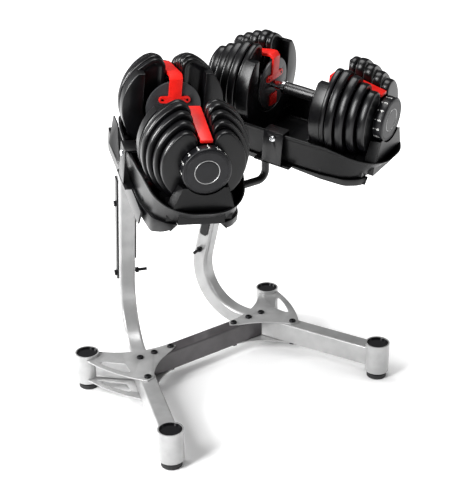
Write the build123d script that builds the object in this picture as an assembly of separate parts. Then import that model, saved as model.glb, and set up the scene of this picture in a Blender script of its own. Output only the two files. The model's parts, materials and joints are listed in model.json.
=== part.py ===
from build123d import *
import math
import os

# A pair of adjustable dumbbells resting in two trays on a V-shaped floor stand.
# Millimetres. X is to the right, Y to the back, Z up, and the floor is Z = 0.
# The user stands in front, at -Y. The whole object is a mirror image about X = 0.

# Driving dimensions of the stand
CROSSBAR_Y = 108.45
SPLAY = 21.8
TUBE = 40.0
TUBE_HEIGHT = 50.0
TUBE_WALL = 2.0
TUBE_CORNER = 7.0
TUBE_TOP = 82.3
TUBE_BOTTOM = TUBE_TOP - TUBE_HEIGHT
TUBE_MID = TUBE_BOTTOM + TUBE_HEIGHT / 2
PLATE_STEEL = 3.0
FRONT_CUP = (305.9, -306.6)
REAR_CUP = (277.7, 91.7)
CUP_RADIUS = 29.0
CUP_WALL = 3.0
CUP_BOTTOM = 18.0
CUP_TOP = 93.2
KNEE_X = 185.6
BAR_BOLTS_X = (96.6, 144.5, 184.9)
LEG_BOLT = (219.2, -85.6)
BOLT_RADIUS = 4.0

# Driving dimensions of the uprights: a quarter bend, then a straight that leans forward
UPRIGHT_BACK = (117.5, 157.5)
BEND_RADIUS = 130.0
LEAN = 13.4
UPRIGHT_LENGTH = 430.0
FOOT_MID = TUBE_TOP - TUBE / 2

# Driving dimensions of the trays and dumbbells, in each tray's own frame:
# x to the right, y to the back, z square to the tray, origin in the middle of the grip
TRAY_ORIGIN = (163.6, -175.8, 724.4)
TILT = 7.2
ROLL = 4.8
HALF_LENGTH = 221.5
PLATE_STARTS = (98.0, 114.0, 135.0, 156.5, 178.0)
PLATE_ENDS = (111.0, 132.0, 153.5, 175.0, 196.0)
PLATE_RADII = (111.5, 111.5, 105.0, 96.0, 86.0)
HORSESHOE_START = 76.0
HORSESHOE_RADIUS = PLATE_RADII[0]
HORSESHOE_TOP = 65.0
SLOT = 34.0
LOBE_CORNER = 28.0
RIM_WIDTH = 17.0
RECESS = 3.5
HUB_START = 74.0
HUB_END = 79.0
HUB_RADIUS = 60.0
LUG_HEIGHT = 20.0
LUG_SIDE = 27.0
ARM_WIDTH = 28.0
BRIDGE_END_WIDTH = 25.0
SHAFT_RADIUS = 9.0
GRIP_RADIUS = 13.5
GRIP_HALF = 42.0
ROD_RADIUS = 8.0
RUNNING_GAP = 0.06
AXLE_RADIUS = 15.0
AXLE_START = 81.0
DIAL_START = 198.5
DIAL_RADIUS = 50.0
RIM_CORNERS = ((34.0, 241.0), (73.0, 220.0), (96.0, 184.0), (110.0, 110.0), (115.0, 0.0))
FLOOR_CORNERS = ((34.0, 202.0), (66.0, 190.0), (87.0, 165.0), (98.0, 112.0), (102.0, 0.0))
PAN_CORNERS = ((37.0, 206.0), (70.0, 194.0), (91.0, 168.0), (102.0, 113.0), (106.0, 0.0))
BOW_ROUNDING = 40.0
RIM_HEIGHT = -54.0
BOW_HEIGHT = -84.0
TRAY_BOTTOM = -126.0
TRAY_FLOOR = TRAY_BOTTOM + 8
TRAY_WALL = 6.0
PAN_BOTTOM = TRAY_BOTTOM - PLATE_STEEL
SKIRT_BOTTOM = PAN_BOTTOM - 19
CLAMP_HALF = 24.0
CLAMP_BOLT_HEIGHT = -65.0
TUBE_PLACE = (-73.0, 42.0)
TUBE_DROP = 78.0
DISC_RADIUS = 34.0

SIDES = {"left": -1, "right": 1}
ENDS = {"front": 1, "rear": -1}


def save(name, *shapes):
    """Write one node, moved back so that the frame's origin is under the object's middle."""
    whole = Compound(children=[Pos(0, CROSSBAR_Y, 0) * s for shape in shapes for s in shape.solids()])
    export_step(whole, os.path.join("parts", name + ".step"))


def upright_cylinder(radius, bottom, top, x=0.0, y=0.0):
    """A vertical cylinder between two heights."""
    return Pos(x, y, bottom) * Cylinder(radius, top - bottom, align=(Align.CENTER, Align.CENTER, Align.MIN))


def flat(sketch, bottom, top):
    """A plan outline raised from one height to another."""
    return extrude(Pos(0, 0, bottom) * sketch, top - bottom)


def section_plane(start):
    """The plane across a dumbbell's axis at a distance in front of the grip's middle."""
    return Plane(origin=(0, -start, 0), x_dir=(1, 0, 0), z_dir=(0, -1, 0))


def across(sketch, start, end, side_of_grip=1):
    """A cross-section of the dumbbell run between two distances from the grip's middle."""
    low, high = sorted((start * side_of_grip, end * side_of_grip))
    return extrude(section_plane(low) * sketch, high - low)


def rod(radius, start, end, side_of_grip=1):
    """A cylinder on the dumbbell's axis."""
    return across(Circle(radius), start, end, side_of_grip)


def tray_frame(side):
    """The frame of one tray: splayed, tipped towards the user and rolled towards the other tray."""
    splay, tilt = math.radians(SPLAY), math.radians(TILT)
    up = (side * math.sin(splay) * math.sin(tilt), -math.cos(splay) * math.sin(tilt), math.cos(tilt))
    x_dir = (math.cos(splay), side * math.sin(splay), 0)
    origin = (side * TRAY_ORIGIN[0], TRAY_ORIGIN[1], TRAY_ORIGIN[2])
    level = Plane(origin=origin, x_dir=x_dir, z_dir=up)
    return Plane(level.location * Rot(0, -side * ROLL, 0))


def in_tray(side, shape):
    """Move a shape from a tray's own frame to the stand."""
    return tray_frame(side).location * shape


def both(shape):
    """A right-hand shape and its mirror image."""
    return shape + mirror(shape, about=Plane.YZ)


def hex_nut(flats, height):
    """A hexagonal nut standing on Z = 0, without its hole."""
    return extrude(RegularPolygon(flats / 2, 6, major_radius=False), height)


# ---------------------------------------------------------------- floor frame


def tube_run(start, end, width, inset=0.0):
    """A square tube between two plan points, or its inside when inset is the wall."""
    dx, dy = end[0] - start[0], end[1] - start[1]
    length = math.hypot(dx, dy)
    angle = math.degrees(math.atan2(dy, dx))
    run = Box(length, width - 2 * inset, TUBE_HEIGHT - 2 * inset)
    middle = Pos((start[0] + end[0]) / 2, (start[1] + end[1]) / 2, TUBE_MID)
    if inset == 0:
        run = fillet(run.edges().filter_by(Axis.X), 4)
    return middle * Rot(0, 0, angle) * run


def leg_shape():
    """The right leg: a long front tube and a short rear tube that meet at the knee."""
    slope = math.tan(math.radians(SPLAY))
    knee_back = (KNEE_X - slope * TUBE, TUBE)
    rear_start = (KNEE_X + 8, 4)
    outer = tube_run(FRONT_CUP, knee_back, TUBE) + tube_run(REAR_CUP, rear_start, 32)
    inner = tube_run(FRONT_CUP, knee_back, TUBE, TUBE_WALL) + tube_run(REAR_CUP, rear_start, 32, TUBE_WALL)
    leg = outer - inner
    behind = Pos(150, TUBE / 2 + 50, TUBE_MID) * Box(120, 100, 2 * TUBE)
    for x, y in (FRONT_CUP, REAR_CUP):
        leg -= upright_cylinder(CUP_RADIUS, 0, 120, x, y)
    for x, y in ((BAR_BOLTS_X[2], 0), LEG_BOLT):
        leg -= upright_cylinder(BOLT_RADIUS, 0, 120, x, y)
    return max((leg - behind).solids(), key=lambda piece: piece.volume)


def leg_envelope():
    """The space that the right leg's knee takes from the crossbar."""
    slope = math.tan(math.radians(SPLAY))
    return tube_run(FRONT_CUP, (KNEE_X - slope * TUBE, TUBE), TUBE) + tube_run(REAR_CUP, (KNEE_X + 8, 4), 32)


def crossbar_shape():
    """The dark tube between the two legs, mitred to them."""
    long = 2 * KNEE_X
    outer = fillet(Box(long, TUBE, TUBE_HEIGHT).edges().filter_by(Axis.X), 4)
    inner = Box(long, TUBE - 2 * TUBE_WALL, TUBE_HEIGHT - 2 * TUBE_WALL)
    bar = Pos(0, 0, TUBE_MID) * (outer - inner)
    bar -= both(leg_envelope())
    for x in (BAR_BOLTS_X[0], BAR_BOLTS_X[1]):
        for side in SIDES.values():
            bar -= upright_cylinder(BOLT_RADIUS, 0, 120, side * x)
    return max(bar.solids(), key=lambda piece: piece.volume)


def gusset_shape(bottom):
    """A flat plate from the crossbar to the rear cup, bowed outwards, with a window."""
    tip, leg_x, leg_y = BAR_BOLTS_X[0], LEG_BOLT[0], LEG_BOLT[1]
    outline = make_face(
        Curve()
        + [
            Line((tip - 14, -3), (tip - 4, 14)),
            ThreePointArc((tip - 4, 14), (190, 40), (255, 98)),
            Line((255, 98), (296, 84)),
            ThreePointArc((296, 84), (274, -14), (leg_x + 10, leg_y - 14)),
            Line((leg_x + 10, leg_y - 14), (leg_x - 12, leg_y - 8)),
            ThreePointArc((leg_x - 12, leg_y - 8), (161, -44), (tip + 6, -15)),
            Line((tip + 6, -15), (tip - 14, -3)),
        ]
    )
    window = make_face(
        Curve()
        + [
            ThreePointArc((277, 50), (263, -2), (240, -47)),
            Line((240, -47), (229, -2)),
            Line((229, -2), (277, 50)),
        ]
    )
    window = fillet(window.vertices(), 5)
    plate = flat(outline - window, bottom, bottom + PLATE_STEEL)
    plate -= upright_cylinder(CUP_RADIUS, 0, 120, *REAR_CUP)
    for x, y in [(x, 0) for x in BAR_BOLTS_X] + [LEG_BOLT]:
        plate -= upright_cylinder(BOLT_RADIUS, 0, 120, x, y)
    return plate


def button_bolt(top, length):
    """A socket button-head bolt hanging from its head's underside."""
    head = upright_cylinder(8.5, top, top + 5)
    head = fillet(head.edges().filter_by(GeomType.CIRCLE).sort_by(Axis.Z)[-1], 3.5)
    socket = Pos(0, 0, top + 2.5) * hex_nut(5, 4)
    return head + upright_cylinder(BOLT_RADIUS, top - length, top) - socket


def base_nut(under):
    """A hexagonal nut below the lower gusset, with its hole."""
    return Pos(0, 0, under - 7) * hex_nut(15, 7) - upright_cylinder(BOLT_RADIUS, under - 8, under + 1)


def make_base():
    """Crossbar, legs, cups, caps, feet, gussets and their bolts."""
    save("crossbar", crossbar_shape())
    leg = leg_shape()
    lower, upper = TUBE_BOTTOM - PLATE_STEEL, TUBE_TOP
    for name, side in SIDES.items():
        shapes = {
            "leg": leg,
            "upper_gusset": gusset_shape(upper),
            "lower_gusset": gusset_shape(lower),
        }
        for part, shape in shapes.items():
            save(f"{name}_{part}", shape if side > 0 else mirror(shape, about=Plane.YZ))
    cup_places = [(side * x, y) for side in (-1, 1) for x, y in (FRONT_CUP, REAR_CUP)]
    inner = CUP_RADIUS - CUP_WALL
    cup = upright_cylinder(CUP_RADIUS, CUP_BOTTOM, CUP_TOP) - upright_cylinder(inner, 0, 120)
    cap = upright_cylinder(inner, CUP_TOP - 10, CUP_TOP - 1)
    cap -= upright_cylinder(inner - 3, CUP_TOP - 4, CUP_TOP)
    foot = upright_cylinder(24, 0, 12) + upright_cylinder(inner, CUP_BOTTOM, CUP_BOTTOM + 16)
    foot += upright_cylinder(14, 12, CUP_BOTTOM)
    foot = chamfer(foot.edges().filter_by(GeomType.CIRCLE).sort_by(Axis.Z)[0], 2)
    save("foot_cups", *[Pos(x, y, 0) * cup for x, y in cup_places])
    save("cup_caps", *[Pos(x, y, 0) * cap for x, y in cup_places])
    save("rubber_feet", *[Pos(x, y, 0) * foot for x, y in cup_places])
    top = TUBE_TOP + PLATE_STEEL
    bolt_places = [(side * x, y) for side in (-1, 1) for x, y in [(x, 0) for x in BAR_BOLTS_X] + [LEG_BOLT]]
    bolt = button_bolt(top, top - lower + 9)
    save("base_bolts", *[Pos(x, y, 0) * bolt for x, y in bolt_places])
    save("base_nuts", *[Pos(x, y, 0) * base_nut(lower) for x, y in bolt_places])


# ---------------------------------------------------------------- uprights


def upright_frame(side):
    """The vertical plane of one upright: x forward along the splay, y up."""
    splay = math.radians(SPLAY)
    forward = (side * math.sin(splay), -math.cos(splay), 0)
    normal = Vector(*forward).cross(Vector(0, 0, 1))
    return Plane(origin=(side * UPRIGHT_BACK[0], UPRIGHT_BACK[1], 0), x_dir=forward, z_dir=normal)


def upright_path(side):
    """The upright's centre line: a level foot, the bend and the leaning straight."""
    lean = math.radians(LEAN)
    bend_end = (BEND_RADIUS * (1 - math.cos(lean)), FOOT_MID + BEND_RADIUS * (1 + math.sin(lean)))
    middle = math.radians(225)
    bend_mid = (
        BEND_RADIUS * (1 + math.cos(middle)),
        FOOT_MID + BEND_RADIUS * (1 + math.sin(middle)),
    )
    head = (bend_end[0] + UPRIGHT_LENGTH * math.sin(lean), bend_end[1] + UPRIGHT_LENGTH * math.cos(lean))
    path = Curve() + [
        Line((BEND_RADIUS + 40, FOOT_MID), (BEND_RADIUS, FOOT_MID)),
        ThreePointArc((BEND_RADIUS, FOOT_MID), bend_mid, bend_end),
        Line(bend_end, head),
    ]
    return upright_frame(side).location * path


def square_section(size, corner):
    """A rounded square."""
    return RectangleRounded(size, size, corner)


def upright_straight(side, distance):
    """A point on the straight's centre line, and the frame there: x out to the right, z up the tube."""
    lean = math.radians(LEAN)
    along = BEND_RADIUS * (1 - math.cos(lean)) + distance * math.sin(lean)
    height = FOOT_MID + BEND_RADIUS * (1 + math.sin(lean)) + distance * math.cos(lean)
    plane = upright_frame(side)
    point = plane.from_local_coords(Vector(along, height, 0))
    axis = plane.from_local_coords(Vector(along + math.sin(lean), height + math.cos(lean), 0)) - point
    return Plane(origin=point, x_dir=-plane.z_dir, z_dir=axis)


BOLT_HEIGHTS = (18.0, 228.0)
STRAP_SPANS = ((2.0, 300.0), (60.0, 370.0))


def upright_shape(side):
    """One bent tube, cut level with the tray pan above and with the crossbar's back below."""
    path = upright_path(side)
    start = Plane(origin=path @ 0, z_dir=path % 0)
    tube = sweep(start * square_section(TUBE, TUBE_CORNER), path=path, transition=Transition.ROUND)
    inside = sweep(
        start * square_section(TUBE - 2 * TUBE_WALL, TUBE_CORNER - TUBE_WALL),
        path=path,
        transition=Transition.ROUND,
    )
    tube -= inside
    crossbar_side = Pos(0, TUBE / 2 - 100, FOOT_MID) * Box(800, 200, 3 * TUBE)
    above_pan = in_tray(side, Pos(0, 200, PAN_BOTTOM + 100) * Box(400, 400, 200))
    tube = tube - crossbar_side - above_pan
    for height in BOLT_HEIGHTS:
        tube -= upright_straight(side, height).location * Rot(0, 90, 0) * Cylinder(BOLT_RADIUS, 80)
    return max(tube.solids(), key=lambda piece: piece.volume)


def side_strap(side, face, span):
    """A flat steel bar on one face of an upright, with a rounded lower end."""
    low, high = span
    half_tube = TUBE / 2
    outline = Pos(0, (low + high) / 2) * Rectangle(22, high - low)
    outline = fillet(outline.vertices().sort_by(Axis.Y)[:2], 8)
    bar = extrude(Plane.YZ * outline, 4)
    bar = Pos(half_tube if face > 0 else -half_tube - 4, 0, 0) * bar
    for height in BOLT_HEIGHTS:
        bar -= Pos(0, 0, height) * Rot(0, 90, 0) * Cylinder(BOLT_RADIUS, 80)
    return upright_straight(side, 0).location * bar


def upright_bolt(side, height):
    """A through bolt: head on the outer face, nut and bare thread on the inner face."""
    half_tube = TUBE / 2
    shank = Pos(-14, 0, 0) * Rot(0, 90, 0) * Cylinder(BOLT_RADIUS, 2 * half_tube + 36)
    head = Pos(half_tube + 4, 0, 0) * Rot(0, 90, 0) * hex_nut(13, 5)
    bolt = shank + head
    if side < 0:
        bolt = Rot(0, 0, 180) * bolt
    return upright_straight(side, height).location * bolt


def upright_nut(side, height):
    """The hexagonal nut on the inner face of an upright."""
    half_tube = TUBE / 2
    nut = Pos(-half_tube - 11, 0, 0) * Rot(0, 90, 0) * hex_nut(13, 7)
    nut -= Rot(0, 90, 0) * Cylinder(BOLT_RADIUS, 100)
    if side < 0:
        nut = Rot(0, 0, 180) * nut
    return upright_straight(side, height).location * nut


def make_uprights():
    """Both uprights, the flat bars on their faces, and the through bolts."""
    straps, bolts, nuts = [], [], []
    for name, side in SIDES.items():
        save(f"{name}_upright", upright_shape(side))
        for face, span in zip((side, -side), STRAP_SPANS):
            straps.append(side_strap(side, face, span))
        for height in BOLT_HEIGHTS:
            bolts.append(upright_bolt(side, height))
            nuts.append(upright_nut(side, height))
    save("side_straps", *straps)
    save("upright_bolts", *bolts)
    save("upright_nuts", *nuts)


# ---------------------------------------------------------------- trays


def tray_outline(corners):
    """A tray's plan: sides that taper to a blunt bow at each end, from its corners on one quarter."""
    right = list(corners) + [(x, -y) for x, y in reversed(corners[:-1])]
    points = right + [(-x, y) for x, y in reversed(right)]
    points = [point for number, point in enumerate(points) if point != points[number - 1]]
    outline = make_face(Polyline(*points, close=True))
    ends = [v for v in outline.vertices() if abs(v.Y) > 100]
    return fillet(ends, BOW_ROUNDING)


def inset_corners(corners, inset):
    """The corners of a tray's plan moved in by a wall's thickness."""
    shares = ((0.5, 1.0), (0.8, 0.7), (0.9, 0.4), (1.0, 0.2), (1.0, 0.0))
    return [(x - inset * a, y - inset * b) for (x, y), (a, b) in zip(corners, shares)]


def tub_shape(inset, floor):
    """The tub's outside, or its inside when it is inset, from its floor up to the rim."""
    levels = [Pos(0, 0, floor) * tray_outline(inset_corners(FLOOR_CORNERS, inset))]
    levels.append(Pos(0, 0, RIM_HEIGHT) * tray_outline(inset_corners(RIM_CORNERS, inset)))
    return loft(levels, ruled=True)


def plate_space(gap):
    """The round space that the plates of one end turn about, opened by a small gap."""
    first, last = HORSESHOE_START - 1, PLATE_ENDS[-1] + 1
    points = [(first, 0), (first, HORSESHOE_RADIUS + gap)]
    for end, radius in zip(PLATE_ENDS[1:], PLATE_RADII[1:]):
        start = points[-1][0]
        if abs(points[-1][1] - radius - gap) > 0.01:
            points.append((start, radius + gap))
        points.append((end + 1, radius + gap))
    points.append((last, 0))
    profile = make_face(Polyline(*[(radius, -distance) for distance, radius in points], close=True))
    return revolve(profile, Axis.Y)


def saddle(side_of_grip):
    """The block under a dial, with a hollow that follows the dial."""
    outline = make_face(Polyline((-62, -120), (62, -120), (44, -30), (-44, -30), close=True))
    return across(outline, 199, 224, side_of_grip)


def rim_slope(side_of_grip):
    """What is cut from the tub's top so that its rim falls towards the bow."""
    edge = Polyline((-120, RIM_HEIGHT), (-250, BOW_HEIGHT), (-250, -40), (-120, -40), close=True)
    wedge = extrude(Plane.YZ * make_face(edge), 150, both=True)
    return wedge if side_of_grip > 0 else mirror(wedge, about=Plane.XZ)


def tray_shape():
    """The moulded tray in its own frame: a tub with cradles, saddles and a sunk middle."""
    outside = tub_shape(0, TRAY_BOTTOM)
    tub = outside - tub_shape(TRAY_WALL, TRAY_FLOOR)
    for side_of_grip in ENDS.values():
        cradle = across(Pos(0, -105) * Rectangle(260, 30), HORSESHOE_START - 6, 199, side_of_grip)
        tub += (cradle & outside) + (saddle(side_of_grip) & outside)
    for side_of_grip in ENDS.values():
        space = plate_space(0.4)
        tub -= space if side_of_grip > 0 else mirror(space, about=Plane.XZ)
        tub -= rod(DIAL_RADIUS + 2, DIAL_START - 1.5, HALF_LENGTH + 20, side_of_grip)
        tub -= rim_slope(side_of_grip)
        arch = fillet((Pos(0, TRAY_BOTTOM) * Rectangle(76, 11)).vertices(), 4)
        tub -= across(arch, 176, 260, side_of_grip)
    return tub


def clamp_section():
    """The clamp strap's section: over each rim, down the inside and across the tray's floor."""
    thick, out, inside, top = 3.0, 121.0, 94.0, RIM_HEIGHT + 5
    ends = Pos(0, (TRAY_BOTTOM + top) / 2) * Rectangle(2 * out, top - TRAY_BOTTOM)
    ends -= Pos(0, (TRAY_BOTTOM + top) / 2 - thick) * Rectangle(2 * (out - thick), top - TRAY_BOTTOM)
    ends -= Rectangle(2 * inside, 400)
    middle = Pos(0, (TRAY_FLOOR + top) / 2) * Rectangle(2 * inside, top - TRAY_FLOOR)
    middle -= Pos(0, TRAY_FLOOR + thick + 50) * Rectangle(2 * (inside - thick), 100)
    return ends + middle


def clamp_bolts_local():
    """Two round-headed bolts that pinch the clamp on the tray's rims."""
    bolt = Rot(0, 90, 0) * Cylinder(BOLT_RADIUS, 34)
    head = Rot(0, 90, 0) * Cylinder(7, 5)
    head = fillet(head.edges().sort_by(Axis.X)[-1], 3)
    one = Pos(104, 0, CLAMP_BOLT_HEIGHT) * bolt + Pos(123.5, 0, CLAMP_BOLT_HEIGHT) * head
    return [one, mirror(one, about=Plane.YZ)]


def pan_bolts_local():
    """Four small bolts up through the pan into the tray's floor."""
    bolt = upright_cylinder(3, PAN_BOTTOM - 8, TRAY_BOTTOM + 4)
    bolt += Pos(0, 0, PAN_BOTTOM - 4) * hex_nut(10, 4)
    return [Pos(x, y, 0) * bolt for x in (-90, 90) for y in (-34, 34)]


def pan_skirt():
    """The pan's edge, turned down under the front bow and opened in the middle."""
    inner_corners = [(x - PLATE_STEEL, y - PLATE_STEEL) for x, y in PAN_CORNERS]
    ring = tray_outline(PAN_CORNERS) - tray_outline(inner_corners)
    ring -= Pos(0, -210) * Rectangle(90, 60)
    edge = [(-45, TRAY_BOTTOM), (-45, PAN_BOTTOM - 2), (-170, SKIRT_BOTTOM), (-230, SKIRT_BOTTOM)]
    edge += [(-230, TRAY_BOTTOM)]
    side_view = extrude(Plane.YZ * make_face(Polyline(*edge, close=True)), 200, both=True)
    return flat(ring, SKIRT_BOTTOM - 5, TRAY_BOTTOM) & side_view


def pan_flange():
    """The deep flange on the pan's outer edge, which passes the upright, and its ear."""
    points = [(-140, -129), (-122, -167), (216, -167), (228, -155), (228, -122), (190, -122), (190, -129)]
    edge = make_face(Polyline(*points, close=True))
    ear_edge = make_face(Polyline((75, -129), (175, -129), (168, -58), (118, -58), close=True))
    ear_edge = fillet([v for v in ear_edge.vertices() if v.Y > -60], 8)
    flange = extrude(Plane.YZ * edge, 4)
    ear = extrude(Plane.YZ * ear_edge, 3)
    return Pos(103, 0, 0) * flange + Pos(112, 0, 0) * ear


def pan_shape(side):
    """The steel pan under a tray: a flat plate, its front skirt, the outer flange and an inner lip."""
    plan = tray_outline(PAN_CORNERS)
    plan += Rectangle(242, 90) + Pos(81, 150) * Rectangle(46, 190) + Pos(104, 115) * Rectangle(22, 120)
    plan -= Rectangle(120, 60) + Pos(0, -210) * Rectangle(90, 60)
    pan = flat(plan, PAN_BOTTOM, TRAY_BOTTOM)
    lip = Pos(-99, 45, PAN_BOTTOM - 5) * Box(4, 160, 10)
    pan += pan_skirt() + pan_flange() + lip
    return pan if side > 0 else mirror(pan, about=Plane.YZ)


def joining_tube_shape():
    """The bent tube that joins the two pans between the uprights."""
    start = tray_frame(1).from_local_coords(Vector(TUBE_PLACE[0], TUBE_PLACE[1], PAN_BOTTOM))
    x, y, high = start.X, start.Y, start.Z + 10
    low = high - TUBE_DROP
    path = FilletPolyline((x, y, high), (x, y, low), (-x, y, low), (-x, y, high), radius=23)
    tube = sweep(Plane(origin=path @ 0, z_dir=path % 0) * Circle(9), path=path)
    above = in_tray(1, Pos(TUBE_PLACE[0], TUBE_PLACE[1], PAN_BOTTOM + 25) * Box(60, 60, 50))
    return tube - above - mirror(above, about=Plane.YZ)


def make_trays():
    """Trays, pans, clamps, their bolts and the joining tube."""
    tray = tray_shape()
    clamp = across(clamp_section(), -CLAMP_HALF, CLAMP_HALF)
    clamp_bolts, pan_bolts = clamp_bolts_local(), pan_bolts_local()
    for bolt in clamp_bolts:
        tray -= bolt
        clamp -= bolt
    for bolt in pan_bolts:
        tray -= bolt
    for name, side in SIDES.items():
        pan = pan_shape(side)
        for bolt in pan_bolts:
            pan -= bolt
        save(f"{name}_tray", in_tray(side, tray))
        save(f"{name}_tray_pan", in_tray(side, pan))
        save(f"{name}_clamp", in_tray(side, clamp))
    save("clamp_bolts", *[in_tray(side, bolt) for side in SIDES.values() for bolt in clamp_bolts])
    save("pan_bolts", *[in_tray(side, bolt) for side in SIDES.values() for bolt in pan_bolts])
    save("joining_tube", joining_tube_shape())


# ---------------------------------------------------------------- dumbbells


def plate_outline(radius):
    """A disc with a slot from its centre up, between two rounded lobes."""
    disc = Circle(radius) - Pos(0, radius) * Rectangle(SLOT, 2 * radius) - Circle(SLOT / 2)
    corners = [v for v in disc.vertices() if v.Y > radius / 2]
    return fillet(corners, LOBE_CORNER)


def recess_outline(radius):
    """The shallow dish in a plate's face, inside its rim and clear of its slot."""
    ring = Circle(radius - RIM_WIDTH) - Circle(SLOT / 2 + 12)
    return ring - Pos(0, radius) * Rectangle(SLOT + 24, 2 * radius)


def plate_shape(number, side_of_grip):
    """One weight plate; the first also has a raised horseshoe on its inner face."""
    start, end, radius = PLATE_STARTS[number], PLATE_ENDS[number], PLATE_RADII[number]
    plate = across(plate_outline(radius), start, end, side_of_grip)
    dish = recess_outline(radius)
    plate -= across(dish, start, start + RECESS, side_of_grip)
    if number < len(PLATE_RADII) - 1:
        plate -= across(dish, end - RECESS, end, side_of_grip)
    if number == 0:
        horseshoe = Circle(HORSESHOE_RADIUS) - Circle(HUB_RADIUS + 6)
        horseshoe -= Pos(0, 100) * Rectangle(2 * HUB_RADIUS + 12, 200)
        horseshoe -= Pos(0, HORSESHOE_TOP + 50) * Rectangle(300, 100)
        plate += across(horseshoe, HORSESHOE_START, start, side_of_grip)
    return plate


def bridge_shape(side_of_grip):
    """The red bracket: an anchor on the hub's face, and a bar over the plates' slots."""
    anchor = Pos(0, 39) * Rectangle(ARM_WIDTH, 54)
    anchor += Pos(0, LUG_HEIGHT) * SlotOverall(2 * LUG_SIDE + 15, 15)
    anchor -= Circle(SHAFT_RADIUS + 3)
    face = across(anchor, HUB_START - 4, HUB_START, side_of_grip)
    tail = across(Pos(0, -37) * Rectangle(ARM_WIDTH, 28), HUB_START - 4, HUB_START, side_of_grip)
    end = PLATE_ENDS[-1] - 0.5
    top = [(70, 62), (70, 67), (78, 75), (87, 75), (end, 57)]
    under = [(end, 51), (86, 68), (80, 68), (74, 63), (74, 62)]
    edge = make_face(Polyline(*[(-distance, height) for distance, height in top + under], close=True))
    bar = extrude(Plane.YZ * edge, ARM_WIDTH, both=True)
    arm, tip = ARM_WIDTH / 2, BRIDGE_END_WIDTH / 2
    half_plan = [(arm, -60), (arm, -80), (tip, -end)]
    plan = make_face(Polyline(*half_plan, *[(-x, y) for x, y in reversed(half_plan)], close=True))
    bar &= flat(plan, 40, 100)
    if side_of_grip < 0:
        bar = mirror(bar, about=Plane.XZ)
    return Compound(children=[face + bar, tail])


def hub_shape(side_of_grip):
    """The round plate at each end of the grip that carries the bridge."""
    disc = across(Circle(HUB_RADIUS), HUB_START, HUB_END, side_of_grip)
    return disc - rod(ROD_RADIUS, 0, 120, side_of_grip)


def hub_screws():
    """Four small screws through the bridges' lugs into the hubs."""
    screws = []
    for end in ENDS.values():
        for x in (-LUG_SIDE, LUG_SIDE):
            screws.append(across(Pos(x, LUG_HEIGHT) * Circle(2.5), HUB_START - 5, HUB_END, end))
    return screws


def selector_shape(side_of_grip):
    """The turning axle with a thin lifting disc in each gap between plates."""
    axle = rod(AXLE_RADIUS, AXLE_START, DIAL_START + 17, side_of_grip)
    for end, start in zip(PLATE_ENDS[:-1], PLATE_STARTS[1:]):
        middle = (end + start) / 2
        axle += rod(DISC_RADIUS, middle - 0.9, middle + 0.9, side_of_grip)
    return axle - rod(ROD_RADIUS + RUNNING_GAP, AXLE_START - 1, DIAL_START + 14, side_of_grip)


def dial_shape(side_of_grip):
    """The dial: a knob with a stepped face and a socket for the axle."""
    dial = rod(DIAL_RADIUS, DIAL_START, HALF_LENGTH, side_of_grip)
    rims = dial.edges().filter_by(GeomType.CIRCLE)
    dial = fillet(rims, 3)
    dial -= rod(AXLE_RADIUS, DIAL_START, DIAL_START + 17, side_of_grip)
    return dial - rod(27, HALF_LENGTH - 4, HALF_LENGTH, side_of_grip)


def dial_cap_shape(side_of_grip):
    """The round cover pressed into the dial's face."""
    return rod(27, HALF_LENGTH - 4, HALF_LENGTH - 1, side_of_grip)


def centre_rod():
    """The steel bar through the grip and both selectors, thicker between the hubs."""
    bar = rod(SHAFT_RADIUS, -HUB_START, HUB_START)
    return bar + rod(ROD_RADIUS, -DIAL_START - 13, DIAL_START + 13)


def make_dumbbell(name, side):
    """One dumbbell with its plates, in the tray."""
    bar = centre_rod()
    grip = rod(GRIP_RADIUS, -GRIP_HALF, GRIP_HALF) - rod(SHAFT_RADIUS, -GRIP_HALF, GRIP_HALF)
    save(f"{name}_grip", in_tray(side, grip))
    save(f"{name}_centre_rod", in_tray(side, bar))
    collar_end = GRIP_HALF + 6
    collars = [rod(14, GRIP_HALF, collar_end, end) - rod(SHAFT_RADIUS, 0, 60, end) for end in ENDS.values()]
    save(f"{name}_grip_collars", *[in_tray(side, collar) for collar in collars])
    screws = hub_screws()
    bridges = [bridge_shape(end) for end in ENDS.values()]
    hubs = [hub_shape(end) for end in ENDS.values()]
    for screw in screws:
        bridges = [bridge - screw for bridge in bridges]
        hubs = [hub - screw for hub in hubs]
    save(f"{name}_bridges", *[in_tray(side, bridge) for bridge in bridges])
    save(f"{name}_hubs", *[in_tray(side, hub) for hub in hubs])
    save(f"{name}_hub_screws", *[in_tray(side, screw) for screw in screws])
    for number in range(len(PLATE_RADII)):
        pair = [in_tray(side, plate_shape(number, end)) for end in ENDS.values()]
        save(f"{name}_plates_{number + 1}", *pair)
    for end_name, end in ENDS.items():
        save(f"{name}_{end_name}_selector", in_tray(side, selector_shape(end)))
        save(f"{name}_{end_name}_dial", in_tray(side, dial_shape(end)))
        save(f"{name}_{end_name}_dial_cap", in_tray(side, dial_cap_shape(end)))


def main():
    os.makedirs("parts", exist_ok=True)
    make_base()
    make_uprights()
    make_trays()
    for name, side in SIDES.items():
        make_dumbbell(name, side)


main()
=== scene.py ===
# %% [markdown]
# # A pair of adjustable dumbbells on a stand
#
# Two dial-selected dumbbells rest in moulded trays, on a stand of silver steel tube. Each cell below
# makes one piece or one finish. The engineering model is loaded first: it fixes every size and place,
# and what is made here only gives the pieces their real surfaces and edges.

# %% Load the engineering model
import json
import math

import bmesh
import bpy
from mathutils import Matrix, Vector


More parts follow.
